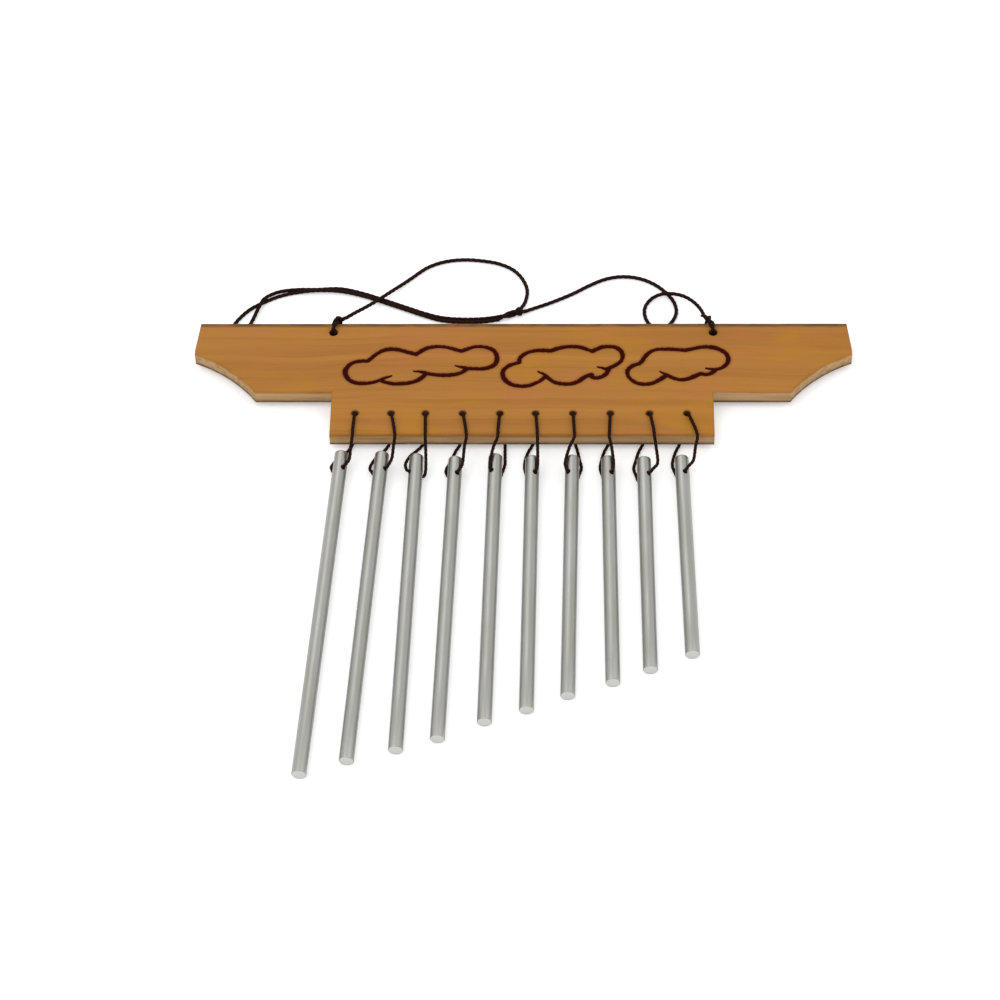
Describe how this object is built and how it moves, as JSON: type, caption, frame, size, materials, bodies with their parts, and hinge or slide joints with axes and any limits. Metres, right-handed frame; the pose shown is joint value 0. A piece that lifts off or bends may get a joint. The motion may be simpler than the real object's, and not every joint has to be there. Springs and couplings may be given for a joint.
{
  "type": "wind chime",
  "caption": "Wooden bar with a temple-roof outline and burnt cloud shapes, a row of solid aluminium rods graded in length on cord loops, and a knotted hanging cord.",
  "frame": {"origin": "on the surface that the chime lies on, under the middle of the bar's length and half-way, within a millimetre, between the bar's top edge and the lower end of the longest rod", "axes": "+X along the bar, from the longest rod to the shortest; +Y from the rods towards the bar's top edge; +Z out of the bar's front face, up from the surface it lies on"},
  "size_m": [0.3, 0.2988, 0.0143],
  "materials": {
    "wood": "oiled pine board, satin, with clouds burnt into its front face",
    "rod": "drawn solid rod, satin, with bright saw-cut ends",
    "cord": "dark brown waxed twisted cord, matt"
  },
  "bodies": {
    "board": {"board": "wood", "rod_knot_1": "cord", "rod_knot_2": "cord", "rod_knot_3": "cord", "rod_knot_4": "cord", "rod_knot_5": "cord", "rod_knot_6": "cord", "rod_knot_7": "cord", "rod_knot_8": "cord", "rod_knot_9": "cord", "rod_knot_10": "cord", "tie_left": "cord", "tie_right": "cord", "tie_knot_left": "cord", "tie_knot_right": "cord", "hanging_cord_left": "cord", "hanging_cord_right": "cord", "hanging_loop": "cord", "centre_knot": "cord"},
    "loop_1": {"rod_cord_1": "cord"},
    "rod_1": {"rod_1": "rod"},
    "loop_2": {"rod_cord_2": "cord"},
    "rod_2": {"rod_2": "rod"},
    "loop_3": {"rod_cord_3": "cord"},
    "rod_3": {"rod_3": "rod"},
    "loop_4": {"rod_cord_4": "cord"},
    "rod_4": {"rod_4": "rod"},
    "loop_5": {"rod_cord_5": "cord"},
    "rod_5": {"rod_5": "rod"},
    "loop_6": {"rod_cord_6": "cord"},
    "rod_6": {"rod_6": "rod"},
    "loop_7": {"rod_cord_7": "cord"},
    "rod_7": {"rod_7": "rod"},
    "loop_8": {"rod_cord_8": "cord"},
    "rod_8": {"rod_8": "rod"},
    "loop_9": {"rod_cord_9": "cord"},
    "rod_9": {"rod_9": "rod"},
    "loop_10": {"rod_cord_10": "cord"},
    "rod_10": {"rod_10": "rod"}
  },
  "joints": [
    {"name": "swing_1", "type": "hinge", "parent": "board", "child": "loop_1", "pos_m": [-0.0751, 0.0575, 0.00705], "axis": [-1, 0, 0], "range_deg": [0, 60], "deforming": ["rod_cord_1"]},
    {"name": "sway_1", "type": "hinge", "parent": "loop_1", "child": "rod_1", "pos_m": [-0.08106, 0.04072, 0.00507], "axis": [0, 0, 1], "range_deg": [-4, 4]},
    {"name": "swing_2", "type": "hinge", "parent": "board", "child": "loop_2", "pos_m": [-0.0589, 0.0575, 0.00705], "axis": [-1, 0, 0], "range_deg": [0, 60], "deforming": ["rod_cord_2"]},
    {"name": "sway_2", "type": "hinge", "parent": "loop_2", "child": "rod_2", "pos_m": [-0.06291, 0.04041, 0.00507], "axis": [0, 0, 1], "range_deg": [-4, 4.5]},
    {"name": "swing_3", "type": "hinge", "parent": "board", "child": "loop_3", "pos_m": [-0.0434, 0.0575, 0.00705], "axis": [-1, 0, 0], "range_deg": [0, 60], "deforming": ["rod_cord_3"]},
    {"name": "sway_3", "type": "hinge", "parent": "loop_3", "child": "rod_3", "pos_m": [-0.04715, 0.0389, 0.00507], "axis": [0, 0, 1], "range_deg": [-4.5, 4]},
    {"name": "swing_4", "type": "hinge", "parent": "board", "child": "loop_4", "pos_m": [-0.0267, 0.0575, 0.00705], "axis": [-1, 0, 0], "range_deg": [0, 60], "deforming": ["rod_cord_4"]},
    {"name": "sway_4", "type": "hinge", "parent": "loop_4", "child": "rod_4", "pos_m": [-0.02977, 0.0374, 0.00507], "axis": [0, 0, 1], "range_deg": [-4, 5]},
    {"name": "swing_5", "type": "hinge", "parent": "board", "child": "loop_5", "pos_m": [-0.0099, 0.0575, 0.00705], "axis": [-1, 0, 0], "range_deg": [0, 60], "deforming": ["rod_cord_5"]},
    {"name": "sway_5", "type": "hinge", "parent": "loop_5", "child": "rod_5", "pos_m": [-0.01187, 0.0389, 0.00507], "axis": [0, 0, 1], "range_deg": [-5, 4.5]},
    {"name": "swing_6", "type": "hinge", "parent": "board", "child": "loop_6", "pos_m": [0.0061, 0.0575, 0.00705], "axis": [-1, 0, 0], "range_deg": [0, 60], "deforming": ["rod_cord_6"]},
    {"name": "sway_6", "type": "hinge", "parent": "loop_6", "child": "rod_6", "pos_m": [0.0047, 0.0379, 0.00507], "axis": [0, 0, 1], "range_deg": [-4.5, 4.5]},
    {"name": "swing_7", "type": "hinge", "parent": "board", "child": "loop_7", "pos_m": [0.0229, 0.0575, 0.00705], "axis": [-1, 0, 0], "range_deg": [0, 60], "deforming": ["rod_cord_7"]},
    {"name": "sway_7", "type": "hinge", "parent": "loop_7", "child": "rod_7", "pos_m": [0.02247, 0.0381, 0.00507], "axis": [0, 0, 1], "range_deg": [-4.5, 5.5]},
    {"name": "swing_8", "type": "hinge", "parent": "board", "child": "loop_8", "pos_m": [0.0397, 0.0575, 0.00705], "axis": [-1, 0, 0], "range_deg": [0, 60], "deforming": ["rod_cord_8"]},
    {"name": "sway_8", "type": "hinge", "parent": "loop_8", "child": "rod_8", "pos_m": [0.0387, 0.0377, 0.00507], "axis": [0, 0, 1], "range_deg": [-5.5, 4.5]},
    {"name": "swing_9", "type": "hinge", "parent": "board", "child": "loop_9", "pos_m": [0.0572, 0.0575, 0.00705], "axis": [-1, 0, 0], "range_deg": [0, 60], "deforming": ["rod_cord_9"]},
    {"name": "sway_9", "type": "hinge", "parent": "loop_9", "child": "rod_9", "pos_m": [0.05462, 0.0373, 0.00507], "axis": [0, 0, 1], "range_deg": [-4.5, 6]},
    {"name": "swing_10", "type": "hinge", "parent": "board", "child": "loop_10", "pos_m": [0.074, 0.0575, 0.00705], "axis": [-1, 0, 0], "range_deg": [0, 60], "deforming": ["rod_cord_10"]},
    {"name": "sway_10", "type": "hinge", "parent": "loop_10", "child": "rod_10", "pos_m": [0.07153, 0.0381, 0.00507], "axis": [0, 0, 1], "range_deg": [-6, 4]}
  ]
}
